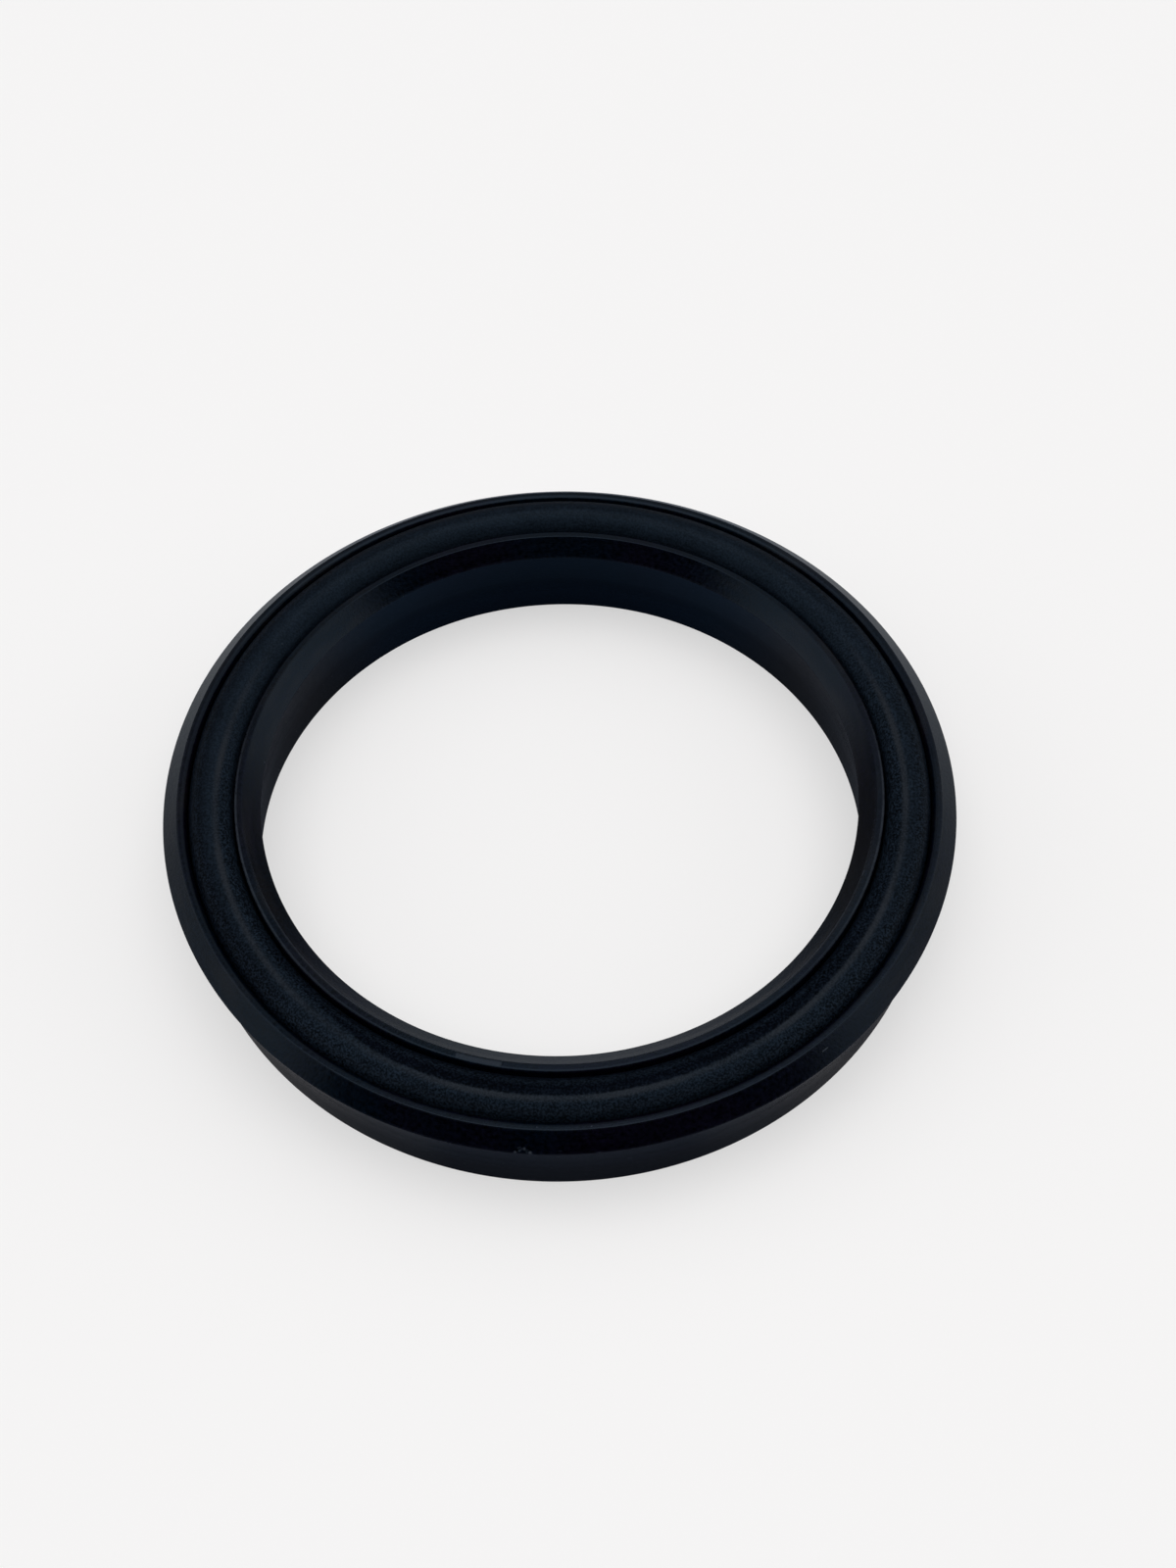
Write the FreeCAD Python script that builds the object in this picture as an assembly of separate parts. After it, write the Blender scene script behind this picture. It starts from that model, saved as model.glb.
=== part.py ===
"""Loaded lip seal for a hydraulic rod or piston, size 65 x 80 x 12 mm.

A moulded u-cup shell holds a round rubber ring in the groove between its two lips.
Both pieces are rings about Z. The flat back of the heel lies on z = 0, centred on the
origin, and the lips point up, so the pressure side is +Z.
"""
import FreeCAD, Part
import math
import os

# Housing that the seal works in, in millimetres
ROD_DIAMETER = 65.0
SECTION_WIDTH = 7.5  # radial room between the rod and the wall of the bore

# Heel, the solid back of the shell
SEAL_HEIGHT = 12.0  # from the heel's back to the lands on the lips
HEEL_HEIGHT = 4.0  # straight walls up to here, then the lips start to flare
HEEL_ROD_GAP = 0.3  # between the heel and the rod, on the radius
HEEL_BORE_GAP = 0.05  # between the heel and the bore, on the radius

# Lips, as they stand free, before they are squeezed into the housing
ROD_LIP_SQUEEZE = 1.18  # how far the free inner lip reaches past the rod's surface
BORE_LIP_SQUEEZE = 1.49  # how far the free outer lip reaches past the bore's wall
BEVEL_DEPTH = 1.73
BEVEL_ANGLE = 45.0  # from the seal's axis
LAND_WIDTH = 0.74  # flat rim between the bevel and the groove

# Round ring that sits in the groove and spreads the lips
MOUTH_GAP = 0.265  # between the cord's widest part and each lip's land, on the radius
CROWN_RISE = 1.04  # how far the ring's crown stands above the lands
SEAT_CLEARANCE = 0.03  # between the ring and each side of its groove

heel_inner = ROD_DIAMETER / 2 + HEEL_ROD_GAP
heel_outer = ROD_DIAMETER / 2 + SECTION_WIDTH - HEEL_BORE_GAP
lip_inner = ROD_DIAMETER / 2 - ROD_LIP_SQUEEZE
lip_outer = ROD_DIAMETER / 2 + SECTION_WIDTH + BORE_LIP_SQUEEZE
bevel_width = BEVEL_DEPTH * math.tan(math.radians(BEVEL_ANGLE))
bevel_bottom = SEAL_HEIGHT - BEVEL_DEPTH

land_inner = lip_inner + bevel_width
land_outer = lip_outer - bevel_width
groove_radius = (land_inner + land_outer) / 2
half_mouth = (land_outer - land_inner) / 2 - LAND_WIDTH

cord_radius = half_mouth - MOUTH_GAP
cord_height = SEAL_HEIGHT + CROWN_RISE - cord_radius
seat_radius = cord_radius + SEAT_CLEARANCE


def point(radius, height):
    """A point of a section, in the plane through the axis."""
    return FreeCAD.Vector(radius, 0, height)


def about_cord(reach, angle):
    """A point of the section, seen from the middle of the cord."""
    return point(groove_radius + reach * math.cos(angle), cord_height + reach * math.sin(angle))


def turned(face):
    """Turns a closed section once round the seal's axis."""
    return face.revolve(FreeCAD.Vector(0, 0, 0), FreeCAD.Vector(0, 0, 1), 360)


def outside_corners():
    """The shell's outside, from the inner land down round the heel and up to the outer land."""
    return [
        point(groove_radius - half_mouth, SEAL_HEIGHT),
        point(land_inner, SEAL_HEIGHT),
        point(lip_inner, bevel_bottom),
        point(heel_inner, HEEL_HEIGHT),
        point(heel_inner, 0),
        point(heel_outer, 0),
        point(heel_outer, HEEL_HEIGHT),
        point(lip_outer, bevel_bottom),
        point(land_outer, SEAL_HEIGHT),
        point(groove_radius + half_mouth, SEAL_HEIGHT),
    ]


def groove_corners():
    """The undercut groove, from its outer wall under the ring to its inner one.

    Each wall leans from the edge of its land to the circle of the ring's seat. Three flats
    close the bottom. All five sides touch that circle, so the ring is seated on each.
    """
    mouth_angle = math.atan2(SEAL_HEIGHT - cord_height, half_mouth)
    mouth_reach = math.hypot(SEAL_HEIGHT - cord_height, half_mouth)
    wall_angle = mouth_angle - math.acos(seat_radius / mouth_reach)
    turn = (math.pi + 2 * wall_angle) / 4
    corner_reach = seat_radius / math.cos(turn / 2)
    return [about_cord(corner_reach, wall_angle - (side + 0.5) * turn) for side in range(4)]


def u_cup_shell():
    """The moulded ring with its heel and two flared lips."""
    corners = outside_corners() + groove_corners()
    return turned(Part.Face(Part.makePolygon(corners + corners[:1])))


def o_ring_energizer():
    """The round ring in the groove between the lips."""
    middle = point(groove_radius, cord_height)
    cord = Part.makeCircle(cord_radius, middle, FreeCAD.Vector(0, 1, 0))
    cord.rotate(middle, FreeCAD.Vector(0, 1, 0), 180)  # the seam is on the inside of the ring
    return turned(Part.Face(Part.Wire(cord)))


def main():
    os.makedirs("parts", exist_ok=True)
    pieces = {
        "u_cup_shell": u_cup_shell(),
        "o_ring_energizer": o_ring_energizer(),
    }
    for name, shape in pieces.items():
        shape.exportStep("parts/" + name + ".step")
        print(name, "valid", shape.isValid(), "volume", round(shape.Volume, 2))
    print("cord diameter", round(2 * cord_radius, 2), "mouth", round(2 * half_mouth, 2))


main()
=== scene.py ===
"""Looks of a loaded lip seal: a satin moulded shell with a matte round ring in its groove."""

import logging
import math
from collections.abc import Mapping, Sequence
from dataclasses import dataclass
from enum import Enum

import bpy
from mathutils import Matrix, Vector


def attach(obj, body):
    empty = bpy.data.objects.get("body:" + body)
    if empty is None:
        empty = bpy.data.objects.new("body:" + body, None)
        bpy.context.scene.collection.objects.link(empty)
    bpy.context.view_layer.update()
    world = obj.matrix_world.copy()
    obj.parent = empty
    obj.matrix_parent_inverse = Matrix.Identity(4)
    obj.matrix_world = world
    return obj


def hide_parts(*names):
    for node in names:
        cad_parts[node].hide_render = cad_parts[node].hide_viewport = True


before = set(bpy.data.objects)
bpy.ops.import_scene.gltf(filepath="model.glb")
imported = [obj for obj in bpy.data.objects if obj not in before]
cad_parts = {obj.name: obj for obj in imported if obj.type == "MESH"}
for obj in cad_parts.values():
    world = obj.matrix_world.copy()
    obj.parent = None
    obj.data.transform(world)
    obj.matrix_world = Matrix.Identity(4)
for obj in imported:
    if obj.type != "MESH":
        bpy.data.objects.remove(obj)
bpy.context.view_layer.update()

MM = 0.001
DEGREES = math.degrees(1.0)  # in one radian
ALL_ROUND = 180.0  # half width, in degrees, of a glow that goes round the whole room
SECTION_CENTRE = 36.405  # middle of the section, in millimetres from the axis
CORD_HEIGHT = 10.69  # middle of the round ring's cord, in millimetres above the floor
NOISE_MEAN = 0.5

# Places of the sockets of a Mix node that works on colours; it shares their names with other kinds
MIX_SHARE = 0
MIX_FIRST = 6
MIX_SECOND = 7
MIX_RESULT = 2

Colour = tuple[float, float, float, float]
Span = tuple[float, float]

log = logging.getLogger("seal")


class Operation(Enum):
    """What a Math node or a Vector Math node does."""

    ADD = "ADD"
    SUBTRACT = "SUBTRACT"
    MULTIPLY = "MULTIPLY"
    DIVIDE = "DIVIDE"
    SQRT = "SQRT"
    ABSOLUTE = "ABSOLUTE"
    MINIMUM = "MINIMUM"
    MAXIMUM = "MAXIMUM"
    SINE = "SINE"
    COSINE = "COSINE"
    ARCTAN2 = "ARCTAN2"
    SCALE = "SCALE"
    DISTANCE = "DISTANCE"


class Value:
    """A socket that takes part in sums: each sum on it adds a Math node to its tree."""

    def __init__(self, bench: "Bench", socket: bpy.types.NodeSocket) -> None:
        """Wraps one output socket of a node on the bench."""
        self.bench = bench
        self.socket = socket

    def _sum(self, operation: Operation, first: "Term", second: "Term | None" = None) -> "Value":
        """Adds one Math node, of one term or two."""
        terms = {0: first} if second is None else {0: first, 1: second}
        return self.bench.node("ShaderNodeMath", {"operation": operation.value}, terms)

    def __add__(self, other: "Term") -> "Value":
        """Self + other."""
        return self._sum(Operation.ADD, self, other)

    def __radd__(self, other: "Term") -> "Value":
        """Other + self."""
        return self._sum(Operation.ADD, other, self)

    def __sub__(self, other: "Term") -> "Value":
        """Self - other."""
        return self._sum(Operation.SUBTRACT, self, other)

    def __rsub__(self, other: "Term") -> "Value":
        """Other - self."""
        return self._sum(Operation.SUBTRACT, other, self)

    def __mul__(self, other: "Term") -> "Value":
        """Self times other."""
        return self._sum(Operation.MULTIPLY, self, other)

    def __rmul__(self, other: "Term") -> "Value":
        """Other times self."""
        return self._sum(Operation.MULTIPLY, other, self)

    def __truediv__(self, other: "Term") -> "Value":
        """Self over other."""
        return self._sum(Operation.DIVIDE, self, other)

    def __rtruediv__(self, other: "Term") -> "Value":
        """Other over self."""
        return self._sum(Operation.DIVIDE, other, self)

    def __abs__(self) -> "Value":
        """Self without its sign."""
        return self._sum(Operation.ABSOLUTE, self)

    def __neg__(self) -> "Value":
        """Minus self."""
        return self._sum(Operation.MULTIPLY, self, -1.0)

    def root(self) -> "Value":
        """Square root."""
        return self._sum(Operation.SQRT, self)

    def sine(self) -> "Value":
        """Sine of an angle in radians."""
        return self._sum(Operation.SINE, self)

    def cosine(self) -> "Value":
        """Cosine of an angle in radians."""
        return self._sum(Operation.COSINE, self)

    def angle_over(self, other: "Term") -> "Value":
        """Angle, in radians, whose tangent is self over other."""
        return self._sum(Operation.ARCTAN2, self, other)

    def least(self, other: "Term") -> "Value":
        """The smaller of the two."""
        return self._sum(Operation.MINIMUM, self, other)

    def most(self, other: "Term") -> "Value":
        """The larger of the two."""
        return self._sum(Operation.MAXIMUM, self, other)

    def rise(self, low: float, high: float) -> "Value":
        """A soft step.

        Args:
            low: where the step begins.
            high: where it ends; below low for a step down.

        Returns:
            0 before the step and 1 after it.
        """
        settings = {"interpolation_type": "SMOOTHSTEP"}
        inputs = {"Value": self, "From Min": low, "From Max": high}
        return self.bench.node("ShaderNodeMapRange", settings, inputs)

    def near(self, place: float, reach: float) -> "Value":
        """A soft bump: 1 at the place, falling to 0 at its reach to each side."""
        return abs(self - place).rise(reach, 0.0)

    def swing(self) -> "Value":
        """How far noise lies above or below its mean."""
        return self - NOISE_MEAN


# A term takes part in sums, and a wire is what a socket is given
Term = Value | float
Wire = Value | float | tuple


@dataclass
class Bench:
    """Adds nodes to a tree and joins them."""

    tree: bpy.types.NodeTree

    def node(
        self,
        kind: str,
        settings: Mapping[str, object] | None = None,
        inputs: Mapping[str | int, Wire] | None = None,
        output: str | int = 0,
    ) -> Value:
        """Adds one node.

        Args:
            kind: the node's type.
            settings: its properties, which are set first.
            inputs: a value or a link for each socket, by name or by place.
            output: the socket that is handed back.

        Returns:
            The chosen output socket.
        """
        made = self.tree.nodes.new(kind)
        for name, setting in (settings or {}).items():
            setattr(made, name, setting)
        for name, given in (inputs or {}).items():
            socket = made.inputs[name]
            if isinstance(given, Value):
                self.tree.links.new(given.socket, socket)
            else:
                socket.default_value = given
        return Value(self, made.outputs[output])

    def blend(self, share: Term, first: Wire, second: Wire) -> Value:
        """Mixes two colours.

        Args:
            share: how much of the second colour shows, 0 to 1.
            first: colour at a share of 0.
            second: colour at a share of 1.

        Returns:
            The mixed colour.
        """
        settings = {"data_type": "RGBA", "blend_type": "MIX"}
        inputs = {MIX_SHARE: share, MIX_FIRST: first, MIX_SECOND: second}
        return self.node("ShaderNodeMix", settings, inputs, MIX_RESULT)

    def vector(self, operation: Operation, first: Wire, second: Wire, output: str | int = 0) -> Value:
        """Adds a Vector Math node of two vectors, and hands back its vector or the output named."""
        settings = {"operation": operation.value}
        return self.node("ShaderNodeVectorMath", settings, {0: first, 1: second}, output)

    def scaled(self, vector: Wire, share: Term) -> Value:
        """A vector or colour times a number."""
        inputs = {0: vector if isinstance(vector, Value) else vector[:3], "Scale": share}
        return self.node("ShaderNodeVectorMath", {"operation": Operation.SCALE.value}, inputs)

    def joined(self, x: Term, y: Term, z: Term) -> Value:
        """A vector of three numbers."""
        return self.node("ShaderNodeCombineXYZ", {}, {0: x, 1: y, 2: z})

    def split(self, vector: Value) -> tuple[Value, Value, Value]:
        """Takes a vector apart.

        Args:
            vector: the vector.

        Returns:
            Its three numbers.
        """
        made = self.tree.nodes.new("ShaderNodeSeparateXYZ")
        self.tree.links.new(vector.socket, made.inputs[0])
        return tuple(Value(self, made.outputs[axis]) for axis in range(3))


@dataclass(frozen=True)
class Corner:
    """A corner of a section, in millimetres from the axis and from the floor."""

    radius: float
    height: float
    rounding: float = 0.0
    spacing: float = 0.5


@dataclass
class Section:
    """A closed section of a ring, given by its corners.

    A straight run has a point close to each end, so that the edges shade crisply: as far off
    as the edge guard, in millimetres, or by a share of the run where it is short.
    """

    corners: list[Corner]
    edge_guard: float = 0.05
    short_run: float = 0.2
    short_guard: float = 0.3
    arc_step: float = 11.0
    least_arc_steps: int = 3

    def points(self) -> list[Span]:
        """Walks round the section.

        Returns:
            Points (radius, height) in millimetres, with each corner rounded and each run divided.
        """
        arcs = [self._arc(index) for index in range(len(self.corners))]
        path: list[Span] = []
        for index, arc in enumerate(arcs):
            path.extend(arc)
            start, end = arc[-1], arcs[(index + 1) % len(arcs)][0]
            path.extend(self._run(start, end, self.corners[index].spacing))
        return path

    def _arc(self, index: int) -> list[Span]:
        """Rounds one corner.

        Args:
            index: the corner's place in the section.

        Returns:
            Points of the arc, or the corner itself where it is sharp.
        """
        corner = self.corners[index]
        here = Vector((corner.radius, corner.height))
        back = self.corners[index - 1]
        ahead = self.corners[(index + 1) % len(self.corners)]
        to_back = (Vector((back.radius, back.height)) - here).normalized()
        to_ahead = (Vector((ahead.radius, ahead.height)) - here).normalized()
        half = to_back.angle(to_ahead) / 2
        if corner.rounding <= 0:
            return [tuple(here)]
        setback = corner.rounding / math.tan(half)
        middle = here + (to_back + to_ahead).normalized() * corner.rounding / math.sin(half)
        start = here + to_back * setback - middle
        sweep = start.angle_signed(here + to_ahead * setback - middle)
        steps = max(self.least_arc_steps, round(abs(sweep) / math.radians(self.arc_step)))
        arc = []
        for step in range(steps + 1):
            turned = Matrix.Rotation(-sweep * step / steps, 2) @ start
            arc.append(tuple(middle + turned))
        return arc

    def _run(self, start: Span, end: Span, spacing: float) -> list[Span]:
        """Divides a straight run.

        Args:
            start: its first end.
            end: its other end.
            spacing: about how far its points are apart, in millimetres.

        Returns:
            Points inside the run, the first and last one close to its ends.
        """
        length = math.dist(start, end)
        guard = self.edge_guard / length if length > self.short_run else self.short_guard
        count = max(1, round(length * (1 - 2 * guard) / spacing))
        shares = [guard + (1 - 2 * guard) * step / count for step in range(count + 1)]
        return [tuple(a + (b - a) * share for a, b in zip(start, end)) for share in shares]


@dataclass(frozen=True)
class Spot:
    """Where a point of the seal lies: millimetres from the axis and the floor, degrees round from +X.

    Its front runs from 1 at the near side to -1 at the far side, and its right from 1 to -1 likewise.
    """

    vector: Value
    radius: Value
    height: Value
    course: Value
    front: Value
    right: Value

    @classmethod
    def read(cls, place: Value) -> "Spot":
        """Works the numbers out from a position.

        Args:
            place: position in metres.

        Returns:
            The spot.
        """
        vector = place.bench.vector(Operation.DIVIDE, place, (MM, MM, MM))
        x, y, z = place.bench.split(vector)
        radius = (x * x + y * y).root()
        return cls(vector, radius, z, y.angle_over(x) * DEGREES, -y / radius, x / radius)


@dataclass(frozen=True)
class Mark:
    """A small scar of the rubber, raised or sunk, pale or dark; a flat pale one is a painted glint.

    Course and run are in degrees, and the other sizes in millimetres. The run is how far the
    mark is drawn out round the seal, and the core is the share of its reach that has it in full.
    """

    course: float
    radius: float
    height: float
    reach: float
    lift: float = 0.0
    pale: float = 0.0
    run: float = 0.0
    core: float = 0.2

    def mask(self, spot: Spot) -> Value:
        """How much of the mark there is.

        Args:
            spot: the point looked at.

        Returns:
            1 on the mark, falling to 0 at the end of its reach.
        """
        turned = (abs(spot.course - self.course) - self.run / 2).most(0.0)
        along = turned * (self.radius * math.radians(1.0))
        out = spot.radius - self.radius
        up = spot.height - self.height
        return (along * along + out * out + up * up).root().rise(self.reach, self.reach * self.core)


# Course, radius, height, reach, lift, pale and run of each scar, and of one painted glint
SHELL_SCARS_AND_GLINT = (
    Mark(-97.40, 41.41, 10.36, 0.20, 0.05, 1.0),
    Mark(-96.85, 41.20, 10.58, 0.24, -0.16, -1.0),
    Mark(-96.25, 41.12, 10.66, 0.20, 0.06, 0.8),
    Mark(-95.88, 41.30, 10.46, 0.17, -0.12, -1.0),
    Mark(-95.45, 41.38, 10.38, 0.24, 0.06, 1.3),
    Mark(-91.60, 41.30, 10.46, 0.17, -0.08, -1.0),
    Mark(-86.50, 41.50, 10.22, 0.20, 0.04, 1.0),
    Mark(-84.50, 41.37, 10.39, 0.14, -0.06, -1.0),
    Mark(-52.70, 40.44, 11.32, 0.10, -0.02, 1.2, 0.9),
    Mark(-23.20, 33.00, 11.95, 0.08, -0.02, 1.0, 1.0),
    Mark(172.40, 31.47, 10.42, 0.12, -0.04, 1.0),
    Mark(-94.70, 39.47, 12.00, 0.10, 0.02, 0.8),
    Mark(-87.30, 39.51, 12.00, 0.10, 0.02, 0.8),
    # A painted glint: a flat pale patch on the inner land at the near side, with no lift
    Mark(-105.0, 33.40, 12.00, 0.36, 0.0, 0.60, 7.0),
)
RING_SCARS = (
    Mark(167.25, 37.28, 12.87, 0.11, 0.02, 1.6),
    Mark(148.34, 34.97, 12.55, 0.11, 0.02, 1.6),
    Mark(-149.0, 38.09, 12.33, 0.10, 0.02, 1.2),
)


class RingTree:
    """Geometry Nodes that turn a section once round the seal's axis."""

    def __init__(self) -> None:
        """Builds the tree."""
        self.tree = bpy.data.node_groups.new("turned_section", "GeometryNodeTree")
        self.bench = Bench(self.tree)
        self._declare()
        self._build()

    def _declare(self) -> None:
        """Names the tree's inputs and its output."""
        face = self.tree.interface
        face.new_socket("Geometry", in_out="INPUT", socket_type="NodeSocketGeometry")
        for name, kind in (
            ("Centre Radius", "NodeSocketFloat"),
            ("Steps Round", "NodeSocketInt"),
            ("Worn Angle", "NodeSocketFloat"),
            ("Crowding", "NodeSocketFloat"),
            ("Ripple Height", "NodeSocketFloat"),
            ("Ripple Size", "NodeSocketFloat"),
            ("Scar Depth", "NodeSocketFloat"),
            ("Seed", "NodeSocketInt"),
            ("Rubber", "NodeSocketMaterial"),
        ):
            face.new_socket(name, in_out="INPUT", socket_type=kind)
        face.new_socket("Geometry", in_out="OUTPUT", socket_type="NodeSocketGeometry")

    def _build(self) -> None:
        """Adds the nodes: section to curve, sweep, ripple, scars, finish."""
        bench = self.bench
        entry = self.tree.nodes.new("NodeGroupInput")
        given = {socket.name: Value(bench, socket) for socket in entry.outputs if socket.name}

        body = self._sweep(given)
        place = bench.node("GeometryNodeInputPosition")
        size = bench.joined(*[given["Ripple Size"]] * 3)
        inputs = {"Vector": bench.vector(Operation.DIVIDE, place, size), "W": given["Seed"], "Detail": 1.0}
        ripple = bench.node("ShaderNodeTexNoise", {"noise_dimensions": "4D"}, inputs)
        # The ripple only sinks the skin, so that a piece doesn't grow past its CAD shape
        body = self._lifted(body, (ripple - 1.0) * given["Ripple Height"])
        spot = Spot.read(place)
        scars = sum((mark.mask(spot) * mark.lift for mark in SHELL_SCARS_AND_GLINT + RING_SCARS), 0.0)
        body = self._lifted(body, scars * given["Scar Depth"])
        body = bench.node("GeometryNodeSetShadeSmooth", {}, {"Geometry": body})
        body = bench.node("GeometryNodeRealizeInstances", {}, {"Geometry": body})
        body = bench.node("GeometryNodeSetMaterial", {}, {"Geometry": body, "Material": given["Rubber"]})

        leave = self.tree.nodes.new("NodeGroupOutput")
        self.tree.links.new(body.socket, leave.inputs[0])

    def _sweep(self, given: Mapping[str, Value]) -> Value:
        """Adds the nodes that carry the section round the seal.

        Args:
            given: the tree's inputs, by name.

        Returns:
            The swept body.
        """
        bench = self.bench
        centre = given["Centre Radius"]
        flat = bench.node("GeometryNodeInputPosition")
        across, _, up = bench.split(bench.vector(Operation.SUBTRACT, flat, bench.joined(centre, 0.0, 0.0)))
        section = bench.node("GeometryNodeMeshToCurve", {}, {"Mesh": given["Geometry"]})
        laid = bench.joined(across, -up, 0.0)
        section = bench.node("GeometryNodeSetPosition", {}, {"Geometry": section, "Position": laid})

        steps = given["Steps Round"]
        circle = {"Resolution": steps, "Radius": centre}
        path = bench.node("GeometryNodeCurvePrimitiveCircle", {"mode": "RADIUS"}, circle)
        turn = (bench.node("GeometryNodeInputIndex") / steps - 0.5) * math.tau
        angle = given["Worn Angle"] + turn - given["Crowding"] * turn.sine()
        ringed = bench.joined(angle.cosine() * centre, angle.sine() * centre, 0.0)
        path = bench.node("GeometryNodeSetPosition", {}, {"Geometry": path, "Position": ringed})
        path = bench.node("GeometryNodeSetCurveNormal", {"mode": "Z_UP"}, {"Curve": path})
        body = bench.node("GeometryNodeCurveToMesh", {}, {"Curve": path, "Profile Curve": section})
        return bench.node("GeometryNodeFlipFaces", {}, {"Mesh": body})

    def _lifted(self, body: Value, height: Value) -> Value:
        """The body with its skin moved outwards by a height in metres."""
        offset = self.bench.scaled(self.bench.node("GeometryNodeInputNormal"), height)
        return self.bench.node("GeometryNodeSetPosition", {}, {"Geometry": body, "Offset": offset})

    def turn(self, name: str, section: Section, inputs: Mapping[str, object]) -> bpy.types.Object:
        """Turns one section and makes the result a plain mesh.

        Args:
            name: the piece's name.
            section: its closed section.
            inputs: values of the tree's named inputs; the others stay 0.

        Returns:
            The finished piece, with no modifier.
        """
        points = [(radius * MM, 0.0, height * MM) for radius, height in section.points()]
        edges = [(index, (index + 1) % len(points)) for index in range(len(points))]
        mesh = bpy.data.meshes.new(name + "_section")
        mesh.from_pydata(points, edges, [])
        piece = bpy.data.objects.new(name, mesh)
        bpy.context.scene.collection.objects.link(piece)
        modifier = piece.modifiers.new("turned", "NODES")
        modifier.node_group = self.tree
        entries = (item for item in self.tree.interface.items_tree if item.in_out == "INPUT")
        sockets = {item.name: item.identifier for item in entries}
        for label, given in inputs.items():
            modifier[sockets[label]] = given
        graph = bpy.context.evaluated_depsgraph_get()
        turned = bpy.data.meshes.new_from_object(piece.evaluated_get(graph), depsgraph=graph)
        piece.modifiers.clear()
        piece.data = turned
        turned.name = name
        return piece


@dataclass(frozen=True)
class Rubber:
    """What the two rubbers share: how they shine, and how a tree of theirs is closed."""

    name: str
    gloss: float
    tint: Colour
    darkest_fleck: float = 0.1

    def material(self) -> bpy.types.Material:
        """Makes the material.

        Returns:
            A material that reads Object coordinates.
        """
        rubber = bpy.data.materials.new(self.name)
        rubber.use_nodes = True
        tree = rubber.node_tree
        tree.nodes.clear()
        bench = Bench(tree)
        surface = self.surface(bench, bench.node("ShaderNodeTexCoord", {}, {}, "Object"))
        end = tree.nodes.new("ShaderNodeOutputMaterial")
        tree.links.new(surface.socket, end.inputs["Surface"])
        return rubber

    def surface(self, bench: Bench, place: Value) -> Value:
        """The finish itself, which each rubber has its own of."""
        raise NotImplementedError

    def shade(self, colour: Wire, roughness: Wire, normal: Value, gloss: float) -> Value:
        """Adds the rubber's shader.

        Args:
            colour: colour of the rubber under its shine.
            roughness: how wide its shine spreads.
            normal: its surface with the bumps on it.
            gloss: how strong its shine is.

        Returns:
            The shader.
        """
        inputs = {
            "Base Color": colour,
            "Roughness": roughness,
            "Specular IOR Level": gloss,
            "Specular Tint": self.tint,
            "Normal": normal,
        }
        return normal.bench.node("ShaderNodeBsdfPrincipled", {}, inputs)

    def bumps(self, height: Value) -> Value:
        """The surface with bumps on it, of a height in millimetres."""
        inputs = {"Strength": 1.0, "Distance": MM, "Height": height}
        return height.bench.node("ShaderNodeBump", {}, inputs)

    def noise(self, place: Value, scale: float, detail: float = 2.0, rough: float = 0.5) -> Value:
        """Noise between 0 and 1, with about `scale` lumps to each unit of the place given."""
        inputs = {"Vector": place, "Scale": scale, "Detail": detail, "Roughness": rough}
        return place.bench.node("ShaderNodeTexNoise", {}, inputs)

    def lines(self, spot: Spot, along: float, across: float) -> Value:
        """Noise drawn out round the seal.

        Args:
            spot: the point looked at.
            along: lumps to each millimetre round the seal.
            across: lumps to each millimetre across its section.

        Returns:
            Noise between 0 and 1.
        """
        bench = spot.vector.bench
        x, y, _ = bench.split(spot.vector)
        drawn = bench.joined(x * along, y * along, spot.radius * across)
        inputs = {"Vector": drawn, "W": spot.height * across, "Scale": 1.0, "Detail": 2.0}
        return bench.node("ShaderNodeTexNoise", {"noise_dimensions": "4D"}, inputs)

    def pale_marks(self, spot: Spot, scars: Sequence[Mark]) -> Value:
        """The scars of a piece, and the shell's painted glint, as one number: 1 or more where pale, 0
        elsewhere.
        """
        return sum((mark.mask(spot) * mark.pale for mark in scars), 0.0).most(0.0)


@dataclass(frozen=True)
class PaleEdge:
    """An edge of the shell that is drawn pale, by a share, over a width in millimetres: wear on most edges,
    and a painted highlight on two of them.

    It is palest at its front, which is 1 at the near side and -1 at the far one.
    """

    radius: float
    height: float
    share: float
    front: float = 0.0
    reach: float = 9.0
    width: float = 0.22
    core: float = 0.04

    def mask(self, spot: Spot) -> Value:
        """Shows how pale the edge is.

        Args:
            spot: the point looked at.

        Returns:
            The edge's share on the edge, and 0 away from it.
        """
        out = spot.radius - self.radius
        up = spot.height - self.height
        edge = (out * out + up * up).root().rise(self.width, self.core)
        return edge * spot.front.near(self.front, self.reach) * self.share


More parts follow.
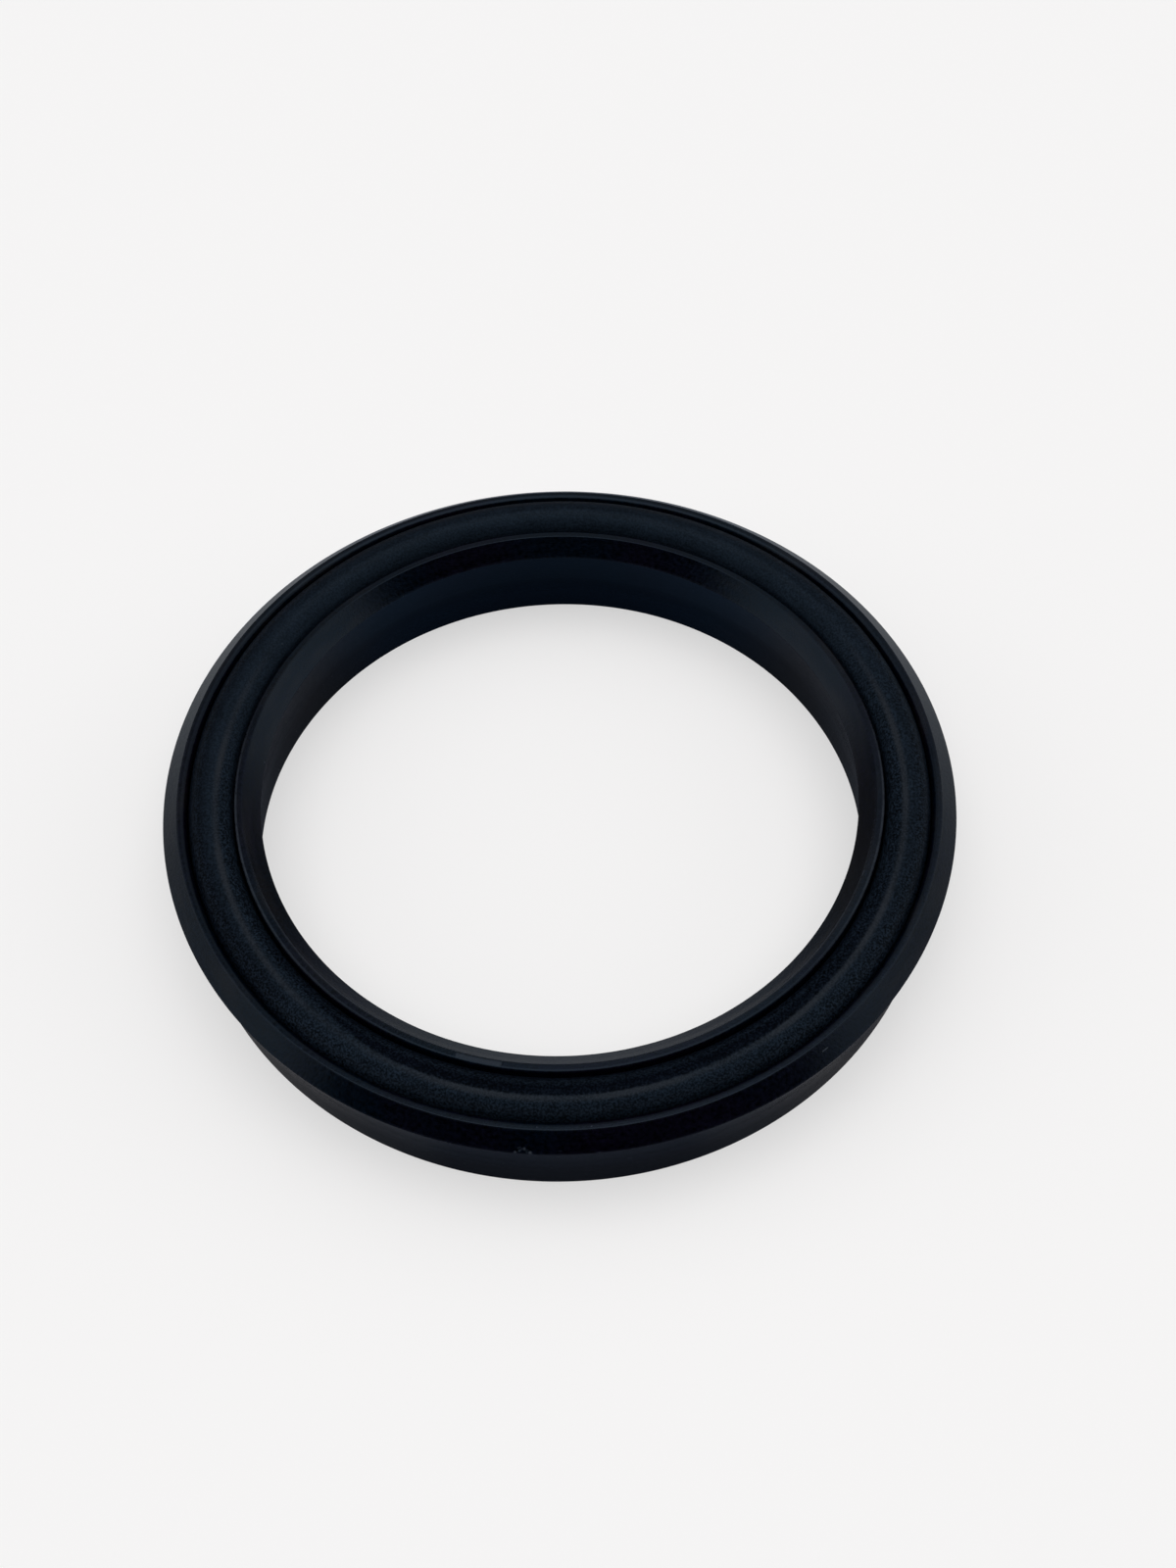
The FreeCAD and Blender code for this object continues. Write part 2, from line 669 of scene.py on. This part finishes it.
@dataclass(frozen=True)
class ShellRubber(Rubber):
    """Satin moulded rubber of the shell, with faint lines round it, a little wear on its edges, painted
    highlights on two edges of the inner lip, and a painted reflection on its inner bevel.

    A scale is in lumps to the millimetre, and heights and sides are in millimetres. From and to
    are steps in a spot's front, or in its right for the smears, and a place is a value of the
    front with its reach. A share is how much shows, and a lean is how much more at the right.
    """

    name: str = "satin_rubber"
    gloss: float = 0.16
    tint: Colour = (0.58, 0.78, 1.0, 1.0)
    cool: Colour = (0.0001, 0.0013, 0.0034, 1.0)
    warm: Colour = (0.0012, 0.0008, 0.0030, 1.0)
    low_wall_tone: Colour = (0.0050, 0.0090, 0.0160, 1.0)
    front_low_wall_tone: Colour = (0.0130, 0.0137, 0.0168, 1.0)
    scuff: Colour = (0.030, 0.034, 0.042, 1.0)
    smudge: Colour = (0.0125, 0.0100, 0.0095, 1.0)
    bevel_reflection: Colour = (0.0112, 0.0112, 0.0118, 1.0)
    upper_bevel_highlight: Colour = (0.0210, 0.0195, 0.0190, 1.0)
    sheen_low: float = 0.17
    sheen_high: float = 0.26
    patch_sheen: float = 0.5
    line_sheen: float = 0.35
    edge_roughness: float = 0.3
    grain_roughness: float = 0.25
    hue_scale: float = 0.07
    hue_spread: Span = (0.38, 0.62)
    patch_scale: float = 0.35
    pale_edge_scale: float = 1.1
    pale_edge_spread: Span = (0.10, 0.62)
    grain_scale: float = 2.6
    fine_scale: float = 6.0
    grain_contrast: float = 4.5
    line_contrast: float = 1.5
    grain_bump: float = 0.018
    line_bump: float = 0.008
    fine_bump: float = 0.010
    low_wall_height: Span = (5.0, 2.0)
    front_low_wall_from: Span = (-0.9, -0.5)
    smudge_from: Span = (-0.88, -0.70)
    smudge_to: Span = (0.80, 0.60)
    smudge_spread: Span = (0.42, 0.72)
    smudge_share: float = 0.35
    smear_height: float = 9.7
    smear_reach: float = 2.4
    smear_from: Span = (0.55, 0.90)
    smear_share: float = 0.28
    smear_lean: float = 0.12
    hole_side: Span = (36.0, 34.0)
    bevel_side: Span = (33.2, 32.9)
    bevel_height: Span = (10.0, 10.4)
    reflection_place: Span = (0.5, 0.5)
    reflection_share: float = 0.5
    reflection_lean: float = 0.25
    rim_height: Span = (11.1, 11.6)
    upper_highlight_place: Span = (0.84, 0.4)
    upper_highlight_share: float = 0.78
    upper_highlight_lean: float = 0.35
    # The first, fourth and fifth edges are wear; the second and third, strong at the near side and the
    # sides, are painted highlights on the inner lip's land edges
    edges: tuple[PaleEdge, ...] = (
        PaleEdge(31.34, 10.27, share=0.10),
        PaleEdge(32.90, 11.93, share=0.80, front=0.8, reach=0.8),
        PaleEdge(33.75, 11.95, share=0.90, front=0.2, reach=0.65),
        PaleEdge(39.76, 12.00, share=0.10),
        PaleEdge(41.47, 10.27, share=0.10),
    )

    def surface(self, bench: Bench, place: Value) -> Value:
        """Builds the finish.

        Args:
            bench: where the nodes go.
            place: Object coordinates.

        Returns:
            The surface's shader.
        """
        spot = Spot.read(place)
        grain = self.noise(spot.vector, self.grain_scale, detail=3.0, rough=0.6)
        lines = self.lines(spot, along=0.05, across=2.4)
        pale_edges = self._pale_edge_share(spot)

        hue = self.noise(spot.vector, self.hue_scale, detail=1.0).rise(*self.hue_spread)
        flecks = grain.swing() * self.grain_contrast + lines.swing() * self.line_contrast + 1.0
        colour = bench.scaled(bench.blend(hue, self.cool, self.warm), flecks.most(self.darkest_fleck))
        # The walls grow paler towards their foot: bluish at the far side, greyer towards the near side
        low_wall_tone = bench.blend(spot.front.rise(*self.front_low_wall_from), self.low_wall_tone, self.front_low_wall_tone)
        colour = bench.blend(self._low_wall_share(spot, grain), colour, low_wall_tone)
        colour = bench.blend(self._smudged(spot), colour, self.smudge)
        # Painted reflection on the inner bevel beside the near side
        colour = bench.blend(self._bevel_reflection_mask(spot), colour, self.bevel_reflection)
        # Painted highlight on the upper part of the inner bevel at the near side
        colour = bench.blend(self._upper_bevel_highlight_mask(spot), colour, self.upper_bevel_highlight)
        # Scuffs, wear on edges, painted highlights on two edges and a painted glint all take the pale scuff
        # colour
        scuffed_and_lit = pale_edges + self.pale_marks(spot, SHELL_SCARS_AND_GLINT)
        colour = bench.blend(scuffed_and_lit.least(1.0), colour, self.scuff)

        patches = self.noise(spot.vector, self.patch_scale)
        sheen = patches.swing() * self.patch_sheen + lines.swing() * self.line_sheen + NOISE_MEAN
        roughness = sheen * (self.sheen_high - self.sheen_low) + self.sheen_low
        roughness = roughness + pale_edges * self.edge_roughness + grain.swing() * self.grain_roughness
        fine = self.noise(spot.vector, self.fine_scale)
        height = grain * self.grain_bump + lines * self.line_bump + fine * self.fine_bump
        return self.shade(colour, roughness, self.bumps(height), self.gloss)

    def _low_wall_share(self, spot: Spot, grain: Value) -> Value:
        """How much paler the walls are towards their foot, and more on some grains than on others."""
        return (spot.height.rise(*self.low_wall_height) * (grain * 0.6 + 0.7)).least(1.0)

    def _smudged(self, spot: Spot) -> Value:
        """Spreads the smudges.

        Args:
            spot: the point looked at.

        Returns:
            How smudged the rubber is: in streaks between the near side and the far one, and
            smeared over the lip's wall in the hole at the left and the right.
        """
        sides = spot.front.rise(*self.smudge_from) * spot.front.rise(*self.smudge_to)
        streaks = self.lines(spot, along=0.15, across=0.6).rise(*self.smudge_spread)
        streaks = streaks * sides * self.smudge_share
        wall = spot.height.near(self.smear_height, self.smear_reach) * spot.radius.rise(*self.hole_side)
        smears = wall * abs(spot.right).rise(*self.smear_from)
        return streaks + smears * (spot.right * self.smear_lean + self.smear_share)

    def _bevel_reflection_mask(self, spot: Spot) -> Value:
        """A painted reflection, pale on the inner bevel, either side of the near side and mostly on the
        right.
        """
        bevel = spot.radius.rise(*self.bevel_side) * spot.height.rise(*self.bevel_height)
        return bevel * spot.front.near(*self.reflection_place) * (spot.right * self.reflection_lean + self.reflection_share)

    def _upper_bevel_highlight_mask(self, spot: Spot) -> Value:
        """A painted highlight on the inner bevel's upper part, strongest at the near side and mostly on the
        right.
        """
        upper = spot.radius.rise(*self.bevel_side) * spot.height.rise(*self.rim_height)
        return upper * spot.front.near(*self.upper_highlight_place) * (spot.right * self.upper_highlight_lean + self.upper_highlight_share)

    def _pale_edge_share(self, spot: Spot) -> Value:
        """How pale the edges of the lips are, in patches, and 0 away from them: wear on most edges, and
        painted highlights on two.
        """
        patchy = self.noise(spot.vector, self.pale_edge_scale, detail=4.0, rough=0.65)
        return sum((edge.mask(spot) for edge in self.edges), 0.0) * patchy.rise(*self.pale_edge_spread)


@dataclass(frozen=True)
class Skin:
    """What the ring's finish reads at a point.

    The tilt is the angle from the crown, in degrees and positive outwards, and the line is the
    tilt from the painted highlight line. Mottle and grit are noise, rough is 1 towards the near side
    and the right, and flank is 1 on the ring's two sides, away from its crown.
    """

    spot: Spot
    tilt: Value
    line: Value
    mottle: Value
    grit: Value
    rough: Value
    flank: Value


@dataclass(frozen=True)
class HighlightSpot:
    """A stretch of the ring's painted highlight line that is paler or, with a change below 0, less pale."""

    course: float
    reach: float
    change: float


@dataclass(frozen=True)
class RingRubber(Rubber):
    """Matte rubber of the round ring: smooth on its crown, mottled down its sides, with a painted highlight
    along one line and painted shade on its flanks.

    Flanks, stripe and highlight reach are in degrees of tilt, and bumps are in millimetres.
    """

    name: str = "matte_rubber"
    gloss: float = 0.08
    # Gloss of the darker copy, which paints shade on the flanks and gives the near side's dark stripe
    shaded_gloss: float = 0.03
    tint: Colour = (0.52, 0.76, 1.0, 1.0)
    base_rubber: Colour = (0.0053, 0.0084, 0.0130, 1.0)
    deep: Colour = (0.0008, 0.0012, 0.0030, 1.0)
    # Colour of the painted highlight along the ring's highlight line
    painted_highlight: Colour = (0.0185, 0.0205, 0.0245, 1.0)
    scuff: Colour = (0.024, 0.030, 0.038, 1.0)
    roughness: float = 0.5
    patch_scale: float = 0.09
    cloud_scale: float = 0.16
    mottle_scale: float = 4.8
    streak_contrast: float = 0.9
    cloud_contrast: float = 0.6
    patch_spread: Span = (0.30, 0.62)
    grit_spread: Span = (0.36, 0.64)
    smooth_bump: float = 0.006
    rough_bump: float = 0.008
    grit_bump: float = 0.004
    outer_flank: Span = (12.0, 32.0)
    inner_flank: Span = (-12.0, -32.0)
    highlight_reach: float = 14.0
    stripe_start: Span = (-2.0, -9.0)
    stripe_end: Span = (-24.0, -40.0)
    highlight_spots: tuple[HighlightSpot, ...] = (
        HighlightSpot(course=-151.0, reach=12.0, change=0.5),
        HighlightSpot(course=-128.0, reach=24.0, change=-0.65),
        HighlightSpot(course=-104.0, reach=9.0, change=0.35),
        HighlightSpot(course=-90.0, reach=7.0, change=-0.3),
    )

    def surface(self, bench: Bench, place: Value) -> Value:
        """Builds the finish.

        Args:
            bench: where the nodes go.
            place: Object coordinates.

        Returns:
            The surface's shader: the rubber, with a darker, less glossy copy mixed in as painted shade on
            its flanks and as a dark stripe beside the painted highlight line.
        """
        skin = self._skin(Spot.read(place))
        flecks = self._flecks(skin)
        colour = bench.scaled(self.base_rubber, flecks)
        # Painted highlight: paler along a line whose tilt follows the near side and the sides
        colour = bench.blend(self._highlight_share(skin), colour, self.painted_highlight)
        colour = bench.blend(self.pale_marks(skin.spot, RING_SCARS).least(1.0), colour, self.scuff)

        mottle_bump = skin.rough * self.rough_bump + self.smooth_bump
        height = skin.mottle * mottle_bump + skin.grit * self.grit_bump
        bump = self.bumps(height)
        base_rubber = self.shade(colour, self.roughness, bump, self.gloss)
        # Darker, less glossy copy of the rubber: painted shade on the flanks, a dark stripe and pits
        shaded_copy = self.shade(bench.scaled(self.deep, flecks), self.roughness, bump, self.shaded_gloss)
        return bench.node("ShaderNodeMixShader", {}, {0: self._dark_share(skin), 1: base_rubber, 2: shaded_copy})

    def _skin(self, spot: Spot) -> Skin:
        """Reads the skin at a point.

        Args:
            spot: the point looked at.

        Returns:
            The skin there.
        """
        out = spot.radius - SECTION_CENTRE
        tilt = out.angle_over(spot.height - CORD_HEIGHT) * DEGREES
        mottle = self.noise(spot.vector, self.mottle_scale, detail=3.0, rough=0.6)
        grit = mottle.rise(*self.grit_spread)
        rough = (spot.front + spot.right * 0.3).rise(-0.7, 0.4)
        inner = tilt.rise(*self.inner_flank) * spot.front.rise(-0.6, 0.2)
        flank = tilt.rise(*self.outer_flank) + inner
        return Skin(spot, tilt, tilt - self._highlight_line(spot), mottle, grit, rough, flank)

    def _highlight_line(self, spot: Spot) -> Value:
        """Tilt of the painted highlight line in degrees: outwards at the near side, inwards at the sides.
        """
        both_sides = spot.front * 21.8 + (spot.front * spot.front * 2.0 - 1.0) * 6.6 - 15.4
        return both_sides + spot.right.rise(0.70, 0.95) * 4.0

    def _flecks(self, skin: Skin) -> Value:
        """Makes the mottle.

        Args:
            skin: the ring's skin at the point looked at.

        Returns:
            How bright the rubber is, 1 on average: grit, streaks round the ring, and wide clouds.
        """
        streaks = self.lines(skin.spot, along=0.35, across=2.6)
        cloud = self.noise(skin.spot.vector, self.cloud_scale)
        side_flank = skin.flank * abs(skin.spot.right).rise(0.3, 0.9)
        grit = skin.grit.swing() * (skin.rough * 0.5 + side_flank * 1.1 + 0.75)
        flecks = grit + streaks.swing() * self.streak_contrast + cloud.swing() * self.cloud_contrast + 1.0
        return flecks.most(self.darkest_fleck)

    def _highlight_share(self, skin: Skin) -> Value:
        """Shows how strong the painted highlight is.

        Args:
            skin: the ring's skin at the point looked at.

        Returns:
            1 where the painted highlight is palest: along the highlight line, a faint painted highlight
            inwards of the crown at the far side, and faint painted light low on the outer flank at the
            right and at the near side.
        """
        spot = skin.spot
        patches = self.noise(spot.vector, self.patch_scale, detail=1.0).rise(*self.patch_spread)
        patchy = patches * 0.8 + skin.mottle.swing() * 0.8 + 0.5
        # Painted highlight along the highlight line, stronger or weaker in stretches round the ring
        painted_highlight = skin.line.near(1.0, self.highlight_reach) * spot.front.rise(-0.6, 0.0) * patchy
        for stretch in self.highlight_spots:
            painted_highlight = painted_highlight * (spot.course.near(stretch.course, stretch.reach) * stretch.change + 1.0)
        # Faint painted highlight inwards of the crown at the far side, and faint painted light low on the
        # outer flank
        painted_highlight = painted_highlight + skin.tilt.near(-15.0, 14.0) * spot.front.rise(-0.3, -0.7) * 0.12
        low_flank = spot.right.rise(0.7, 0.95) * 0.3 + spot.front.rise(0.4, 0.8) * 0.12
        painted_highlight = painted_highlight + skin.tilt.near(48.0, 16.0) * low_flank
        return painted_highlight.most(0.0).least(1.0)

    def _dark_share(self, skin: Skin) -> Value:
        """Shows how much of the darker, less glossy copy there is.

        Args:
            skin: the ring's skin at the point looked at.

        Returns:
            The share: a dark stripe inwards of the painted highlight line at the near side, painted shade
                on the outer
            flank away from the near side and on the inner flank at the near side, and small pits all over.
        """
        spot = skin.spot
        tilt = skin.tilt
        inwards = skin.line + spot.right.rise(-0.45, -0.72) * 20.0
        fading = 1.0 - skin.line.rise(*self.stripe_end) * 0.65
        stripe = inwards.rise(*self.stripe_start) * fading * spot.front.rise(0.0, 1.05)
        stripe = stripe * (1.0 - skin.grit * 0.25)
        # Painted shade on the outer flank, away from the near side
        outer_level = 0.48 - spot.right.rise(-0.3, 0.6) * 0.24
        outer = tilt.rise(-6.0, 24.0) * (1.0 - spot.front.rise(0.55, 0.85)) * outer_level
        far_flank = tilt.rise(16.0, 40.0) * 0.30 + tilt.near(1.0, 9.0) * 0.20
        outer = outer + far_flank * spot.front.rise(-0.45, -0.70)
        # Painted shade on the inner flank at the near side, by the crevice
        inner = tilt.rise(-26.0, -48.0) * spot.front.rise(0.2, 0.7) * 0.5
        pitted = (1.0 - skin.grit) * (skin.flank * 0.15 + skin.rough * 0.18 + 0.10)
        return (stripe.most(outer).most(inner) + pitted).least(1.0)


@dataclass
class UCupShell:
    """The moulded shell: solid heel, two flared lips and the undercut groove between them.

    Its sizes are in millimetres. The mesh is finest at the side with the nicks, an angle in degrees.
    """

    heel_inner: float = 32.8
    heel_outer: float = 39.95
    heel_height: float = 4.0
    lip_inner: float = 31.32
    lip_outer: float = 41.49
    bevel: float = 1.73
    land: float = 0.74
    height: float = 12.0
    mouth_bulge: float = 0.17
    flare_rounding: float = 12.0
    heel_rounding: float = 0.08
    lip_rounding: float = 0.07
    land_rounding: float = 0.16
    groove: tuple[Corner, ...] = (
        Corner(38.68, 9.46, rounding=0.9, spacing=1.0),
        Corner(37.284, 8.31, rounding=0.9, spacing=1.0),
        Corner(35.526, 8.31, rounding=0.9, spacing=1.0),
        Corner(34.19, 9.453, rounding=0.9, spacing=0.5),
    )
    steps_round: int = 480
    worn_side: float = 264.0
    crowding: float = 0.8
    ripple_height: float = 0.012
    ripple_size: float = 9.0
    seed: int = 3

    def section(self) -> Section:
        """The shell's section, walked from the inner mouth edge down round the heel and back by the groove.

        Returns:
            The closed section with its small edge roundings.
        """
        bevel_bottom = self.height - self.bevel
        land_inner = self.lip_inner + self.bevel
        land_outer = self.lip_outer - self.bevel
        mouth_inner = land_inner + self.land + self.mouth_bulge / 2
        mouth_outer = land_outer - self.land - self.mouth_bulge
        return Section(
            [
                Corner(mouth_inner, self.height, rounding=0.35, spacing=0.2),
                Corner(land_inner, self.height, self.land_rounding, spacing=0.3),
                Corner(self.lip_inner, bevel_bottom, self.lip_rounding, spacing=0.6),
                Corner(self.heel_inner, self.heel_height, self.flare_rounding, spacing=1.0),
                Corner(self.heel_inner, 0.0, self.heel_rounding, spacing=1.5),
                Corner(self.heel_outer, 0.0, self.heel_rounding, spacing=1.0),
                Corner(self.heel_outer, self.heel_height, self.flare_rounding, spacing=0.5),
                Corner(self.lip_outer, bevel_bottom, self.lip_rounding, spacing=0.1),
                Corner(land_outer, self.height, self.land_rounding, spacing=0.2),
                Corner(mouth_outer, self.height, rounding=0.60, spacing=0.5),
                *self.groove,
            ]
        )

    def build(self, tree: RingTree) -> bpy.types.Object:
        """Makes the shell and dresses it.

        Args:
            tree: the nodes that turn a section.

        Returns:
            The finished shell, which stands for its CAD node.
        """
        shell = tree.turn(
            "shell",
            self.section(),
            {
                "Centre Radius": SECTION_CENTRE * MM,
                "Steps Round": self.steps_round,
                "Worn Angle": math.radians(self.worn_side),
                "Crowding": self.crowding,
                "Ripple Height": self.ripple_height * MM,
                "Ripple Size": self.ripple_size * MM,
                "Scar Depth": MM,
                "Seed": self.seed,
                "Rubber": ShellRubber().material(),
            },
        )
        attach(shell, "root")
        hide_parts("u_cup_shell")
        return shell


@dataclass
class ORing:
    """The round rubber ring that spreads the lips, with its sizes in millimetres."""

    radius: float = SECTION_CENTRE
    height: float = CORD_HEIGHT
    cord_radius: float = 2.35
    section_steps: int = 64
    steps_round: int = 480
    ripple_height: float = 0.03
    ripple_size: float = 12.0
    seed: int = 11

    def section(self) -> Section:
        """The cord's round section.

        Returns:
            A closed section of many short sides.
        """
        corners = []
        for step in range(self.section_steps):
            angle = math.tau * step / self.section_steps
            out = self.cord_radius * math.cos(angle)
            up = self.cord_radius * math.sin(angle)
            corners.append(Corner(self.radius + out, self.height + up))
        return Section(corners)

    def build(self, tree: RingTree) -> bpy.types.Object:
        """Makes the ring and dresses it.

        Args:
            tree: the nodes that turn a section.

        Returns:
            The finished ring, which stands for its CAD node.
        """
        ring = tree.turn(
            "o_ring",
            self.section(),
            {
                "Centre Radius": self.radius * MM,
                "Steps Round": self.steps_round,
                "Ripple Height": self.ripple_height * MM,
                "Ripple Size": self.ripple_size * MM,
                "Scar Depth": MM,
                "Seed": self.seed,
                "Rubber": RingRubber().material(),
            },
        )
        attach(ring, "root")
        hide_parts("o_ring_energizer")
        return ring


@dataclass
class Viewpoint:
    """The photograph's camera, fitted to the seal's circles, in millimetres and degrees."""

    distance: float = 211.12
    elevation: float = 57.685
    yaw: float = -0.845
    pitch: float = 1.563
    roll: float = 2.018
    lens: float = 44.193
    sensor_width: float = 36.0

    def build(self) -> bpy.types.Object:
        """Makes the camera and gives it to the scene.

        Returns:
            The camera.
        """
        rise = math.radians(self.elevation)
        back = Vector((0.0, -math.cos(rise), math.sin(rise)))
        right = Vector((1.0, 0.0, 0.0))
        up = right.cross(-back)
        basis = Matrix((right, up, back)).transposed()
        basis = Matrix.Rotation(math.radians(self.yaw), 3, up) @ basis
        basis = Matrix.Rotation(math.radians(self.pitch), 3, basis.col[0]) @ basis
        basis = Matrix.Rotation(math.radians(self.roll), 3, -basis.col[2]) @ basis
        data = bpy.data.cameras.new("camera")
        data.lens = self.lens
        data.sensor_width = self.sensor_width
        camera = bpy.data.objects.new("camera", data)
        camera.matrix_world = Matrix.Translation(back * self.distance * MM) @ basis.to_4x4()
        bpy.context.scene.collection.objects.link(camera)
        bpy.context.scene.camera = camera
        return camera


@dataclass(frozen=True)
class Glow:
    """A soft-edged patch of the room as the seal sees it: a lamp, a pale wall, or something dark.

    All but the strength is in degrees. An edge is how far the patch fades beyond its half size.
    """

    strength: float
    elevation: float
    half_height: float
    height_edge: float
    azimuth: float = 0.0
    half_width: float = ALL_ROUND
    width_edge: float = 10.0

    def mask(self, course: Value, rise: Value) -> Value:
        """Where the patch is.

        Args:
            course: azimuth of the direction looked in, in degrees from +X.
            rise: elevation of that direction, in degrees.

        Returns:
            1 inside the patch and 0 outside it.
        """
        high = abs(rise - self.elevation).rise(self.half_height + self.height_edge, self.half_height)
        if self.half_width >= ALL_ROUND:
            return high
        turn = (course - self.azimuth) / DEGREES
        away = turn.sine().angle_over(turn.cosine()) * DEGREES
        wide = abs(away).rise(self.half_width + self.width_edge, self.half_width)
        return high * wide


@dataclass(frozen=True)
class DimSpot:
    """A painted shadow on the floor, in millimetres, which fades from its inner to its outer reach."""

    x: float
    y: float
    inner: float
    outer: float


@dataclass
class Studio:
    """A pale table in a room with a wide ceiling light, two pale side walls and a dark front.

    The camera sees the floor pale and the room white. Reflected light meets a floor with painted shade:
    darker near the seal's foot and in its hole, and in painted shadows in front. Lengths are in
    millimetres.
    """

    floor_size: float = 3000.0
    floor_shade: Colour = (0.995, 0.93, 0.875, 1.0)
    # Painted shade on the floor for all but camera rays: dark foot, bluish hole, paler sides
    foot_shade: Colour = (0.17, 0.18, 0.21, 1.0)
    hole_shade: Colour = (0.125, 0.205, 0.33, 1.0)
    side_shade: Colour = (0.35, 0.33, 0.33, 1.0)
    front_shade: Colour = (0.090, 0.105, 0.14, 1.0)
    far_shade: Colour = (0.62, 0.64, 0.66, 1.0)
    hole_reach: Span = (38.0, 34.0)
    side_reach: Span = (37.0, 40.0)
    foot_reach: Span = (7.0, 40.0)
    # Painted shadows on the floor for all but camera rays
    dim_spots: tuple[DimSpot, ...] = (
        DimSpot(x=0.0, y=-44.0, inner=12.0, outer=20.0),
        DimSpot(x=37.0, y=-31.0, inner=5.0, outer=10.0),
    )
    floor_lift: float = 0.5
    fade_reach: Span = (250.0, 900.0)
    room_level: float = 0.45
    tone: Colour = (0.95, 1.0, 1.06, 1.0)
    backdrop: Colour = (1.0, 1.0, 1.0, 1.0)
    # Strength, elevation, half height and its edge, azimuth, half width and its edge of each
    lights: tuple[Glow, ...] = (
        Glow(1.55, 90.0, 18.0, 30.0),
        Glow(0.89, 26.0, 5.0, 22.0, 180.0, 15.0, 25.0),
        Glow(0.91, 24.0, 4.0, 20.0, 1.0, 16.0, 25.0),
        Glow(0.18, 42.0, 5.0, 10.0, 90.0, 30.0, 30.0),
    )
    shades: tuple[Glow, ...] = (
        Glow(1.0, 30.0, 18.0, 6.0, 270.5, 55.0, 6.0),
        Glow(0.70, 8.0, 18.0, 14.0, 100.0, 30.0, 40.0),
        Glow(0.80, 60.0, 6.0, 8.0, 110.0, 9.0, 7.0),
        Glow(0.55, 58.0, 5.0, 8.0, 69.0, 5.0, 6.0),
        Glow(0.25, 57.0, 8.0, 8.0, 90.0, 12.0, 10.0),
    )

    def build(self) -> None:
        """Makes the floor and the world."""
        self._floor()
        self._world()

    def _floor(self) -> None:
        """A plain pale floor under the heel."""
        half = self.floor_size * MM / 2
        corners = [(-half, -half, 0.0), (half, -half, 0.0), (half, half, 0.0), (-half, half, 0.0)]
        mesh = bpy.data.meshes.new("floor")
        mesh.from_pydata(corners, [], [(0, 1, 2, 3)])
        mesh.materials.append(self._paper())
        floor = bpy.data.objects.new("floor", mesh)
        bpy.context.scene.collection.objects.link(floor)

    def _paper(self) -> bpy.types.Material:
        """Makes the floor's material.

        Returns:
            A matte white that is lit a little for the camera, and wholly so far from the seal.
        """
        paper = bpy.data.materials.new("white_table")
        paper.use_nodes = True
        tree = paper.node_tree
        tree.nodes.clear()
        bench = Bench(tree)
        seen = bench.node("ShaderNodeLightPath", {}, {}, "Is Camera Ray")
        spot = Spot.read(bench.node("ShaderNodeTexCoord", {}, {}, "Object"))
        shade = bench.blend(seen, self._bounce(bench, spot), self.floor_shade)
        matte = bench.node("ShaderNodeBsdfDiffuse", {}, {"Color": shade})
        plain = bench.node("ShaderNodeEmission", {}, {"Color": self.backdrop, "Strength": 1.0})
        lift = spot.radius.rise(*self.fade_reach) * (1.0 - self.floor_lift) + self.floor_lift
        mixed = bench.node("ShaderNodeMixShader", {}, {0: seen * lift, 1: matte, 2: plain})
        end = tree.nodes.new("ShaderNodeOutputMaterial")
        tree.links.new(mixed.socket, end.inputs["Surface"])
        return paper

    def _bounce(self, bench: Bench, spot: Spot) -> Value:
        """Colours the floor for all but the camera.

        Args:
            bench: where the nodes go.
            spot: the point of the floor.

        Returns:
            Its colour, with painted shade and light: dark by the seal's foot and in painted shadows in
                front, bluish in the hole, paler at the sides, and pale far away.
        """
        hole = spot.radius.rise(*self.hole_reach) * spot.front.rise(-0.6, -0.9)
        foot = bench.blend(hole, self.foot_shade, self.hole_shade)
        side = abs(spot.right).rise(0.40, 0.75) * spot.radius.rise(*self.side_reach)
        foot = bench.blend(side, foot, self.side_shade)
        for dim in self.dim_spots:
            away = bench.vector(Operation.DISTANCE, spot.vector, (dim.x, dim.y, 0.0), "Value")
            foot = bench.blend(away.rise(dim.outer, dim.inner), foot, self.front_shade)
        far = abs(spot.radius - SECTION_CENTRE).rise(*self.foot_reach)
        return bench.blend(far, foot, self.far_shade)

    def _world(self) -> None:
        """The light that comes from all round."""
        world = bpy.data.worlds.new("room")
        bpy.context.scene.world = world
        world.use_nodes = True
        tree = world.node_tree
        tree.nodes.clear()
        bench = Bench(tree)
        x, y, z = bench.split(bench.node("ShaderNodeTexCoord", {}, {}, "Generated"))
        course = y.angle_over(x) * DEGREES
        rise = z.angle_over((x * x + y * y).root()) * DEGREES
        level: Term = self.room_level
        for light in self.lights:
            level = level + light.mask(course, rise) * light.strength
        for shade in self.shades:
            level = level * (1.0 - shade.mask(course, rise) * shade.strength)
        seen = bench.node("ShaderNodeLightPath", {}, {}, "Is Camera Ray")
        tone = bench.blend(seen, self.tone, self.backdrop)
        strength = level * (1.0 - seen) + seen
        lit = bench.node("ShaderNodeBackground", {}, {"Color": tone, "Strength": strength})
        end = tree.nodes.new("ShaderNodeOutputWorld")
        tree.links.new(lit.socket, end.inputs["Surface"])


def main() -> None:
    """Builds the seal and its surroundings, and reports each piece."""
    logging.basicConfig(level=logging.INFO, format="%(name)s: %(message)s")
    scene = bpy.context.scene
    scene.view_settings.view_transform = "Standard"
    Viewpoint().build()
    Studio().build()
    tree = RingTree()
    for piece in (UCupShell().build(tree), ORing().build(tree)):
        corners = [vertex.co for vertex in piece.data.vertices]
        top = max(corner.z for corner in corners) / MM
        log.info("%s: %d faces, top at %.2f mm", piece.name, len(piece.data.polygons), top)
    bpy.context.view_layer.update()


if __name__ == "__main__":
    main()
